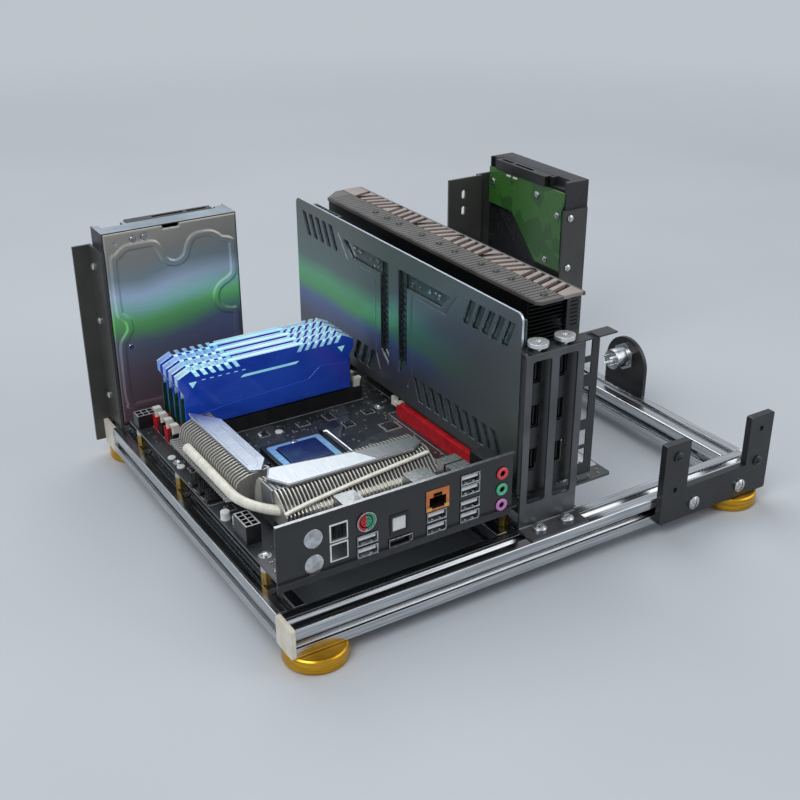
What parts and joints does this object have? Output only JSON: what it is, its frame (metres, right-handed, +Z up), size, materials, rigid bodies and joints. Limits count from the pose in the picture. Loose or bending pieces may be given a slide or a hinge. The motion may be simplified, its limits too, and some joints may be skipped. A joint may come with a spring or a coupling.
{
  "type": "open air test bench",
  "caption": "Open frame of slotted aluminium rails that carries a mainboard, a graphics card, two upright disk drives, a power button and a power supply plate.",
  "frame": {"origin": "centre of the front left foot's base, on the table", "axes": "+X along the front rail, from the rear panel's corner to the supply plate; +Y to the back; +Z up"},
  "size_m": [0.3907, 0.332, 0.1813],
  "materials": {
    "polished_rail": "polished extruded aluminium",
    "white_cap": "moulded",
    "zinc_joiner": "zinc plated",
    "gold_foot": "gold anodised, turned",
    "plated_screw": "nickel plated",
    "brass_standoff": "turned",
    "black_board": "black solder mask",
    "black_shield": "black painted sheet",
    "ps2_plastic": "moulded",
    "port_steel": "stamped",
    "lan_plastic": "moulded",
    "black_plastic": "moulded",
    "white_door": "moulded",
    "socket_steel": "stamped",
    "processor_lid": "nickel plated",
    "lever_steel": "bent wire",
    "red_plastic": "moulded",
    "cream_plastic": "moulded",
    "green_board": "green solder mask",
    "blue_spreader": "blue anodised",
    "can_aluminium": "drawn",
    "silver_sink": "brushed",
    "cream_pipe": "painted",
    "dark_sink": "anodised",
    "card_mask": "dark solder mask",
    "dark_backplate": "brushed and anodised",
    "black_fins": "black coated",
    "grey_cover": "moulded",
    "black_shroud": "moulded",
    "grey_bracket": "satin painted sheet",
    "thumb_nickel": "turned",
    "cast_case": "black painted casting",
    "drive_steel": "brushed",
    "dark_angle": "dark satin painted sheet",
    "black_plate": "black painted",
    "button_steel": "turned",
    "black_screw": "black oxide"
  },
  "bodies": {
    "bench": {"front_rail": "polished_rail", "back_rail": "polished_rail", "left_rail": "polished_rail", "right_rail": "polished_rail", "support_rails": "polished_rail", "end_caps": "white_cap", "corner_joiners": "zinc_joiner", "feet": "gold_foot", "slot_nuts": "zinc_joiner", "rail_screws": "plated_screw", "standoffs": "brass_standoff", "small_screws": "plated_screw", "mainboard": "black_board", "io_shield": "black_shield", "ps2_port": "ps2_plastic", "usb_ports": "port_steel", "lan_port": "lan_plastic", "display_ports": "black_plastic", "optical_port": "black_plastic", "audio_jacks": "black_plastic", "socket_frame": "socket_steel", "processor": "processor_lid", "load_plate": "socket_steel", "red_sockets": "red_plastic", "black_sockets": "black_plastic", "socket_latches": "cream_plastic", "memory_boards": "green_board", "heat_spreaders": "blue_spreader", "board_headers": "black_plastic", "capacitors": "can_aluminium", "card_slot": "red_plastic", "side_heatsink": "silver_sink", "front_heatsink": "silver_sink", "heat_pipe": "cream_pipe", "chipset_heatsink": "dark_sink", "card_board": "card_mask", "card_backplate": "dark_backplate", "card_fins": "black_fins", "card_top": "grey_cover", "card_shroud": "black_shroud", "card_bracket": "black_shield", "slot_bracket": "grey_bracket", "thumb_screws": "thumb_nickel", "drive_cases": "cast_case", "drive_covers": "drive_steel", "drive_boards": "green_board", "drive_angles": "dark_angle", "drive_plate": "dark_angle", "switch_plate": "black_plate", "switch_barrel": "button_steel", "switch_nut": "button_steel", "supply_plate": "black_plate", "supply_screws": "black_screw"},
    "button": {"switch_button": "button_steel"},
    "lever": {"socket_lever": "lever_steel"},
    "latch": {"slot_latch": "cream_plastic"},
    "flap": {"optical_door": "white_door"},
    "rotor_front": {"fan_front": "black_shroud"},
    "rotor_middle": {"fan_middle": "black_shroud"},
    "rotor_rear": {"fan_rear": "black_shroud"}
  },
  "joints": [
    {"name": "button_press", "type": "slide", "parent": "bench", "child": "button", "axis": [-1, 0, 0], "range_m": [0, 0.0015], "stiffness_N_per_m": 600},
    {"name": "lever_lift", "type": "hinge", "parent": "bench", "child": "lever", "pos_m": [0.08865, 0.1543, 0.053], "axis": [-1, 0, 0], "range_deg": [0, 120]},
    {"name": "latch_press", "type": "hinge", "parent": "bench", "child": "latch", "pos_m": [0.1556, 0.1533, 0.0554], "axis": [-1, 0, 0], "range_deg": [0, 15]},
    {"name": "flap_push", "type": "hinge", "parent": "bench", "child": "flap", "pos_m": [0.06185, 0.00725, 0.06975], "axis": [1, 0, 0], "range_deg": [0, 80], "stiffness_Nm_per_rad": 0.0005},
    {"name": "spin_front", "type": "hinge", "parent": "bench", "child": "rotor_front", "pos_m": [0.2068, 0.0707, 0.1256], "axis": [1, 0, 0], "continuous": true},
    {"name": "spin_middle", "type": "hinge", "parent": "bench", "child": "rotor_middle", "pos_m": [0.2068, 0.1637, 0.1256], "axis": [1, 0, 0], "continuous": true},
    {"name": "spin_rear", "type": "hinge", "parent": "bench", "child": "rotor_rear", "pos_m": [0.2068, 0.2567, 0.1256], "axis": [1, 0, 0], "continuous": true}
  ]
}
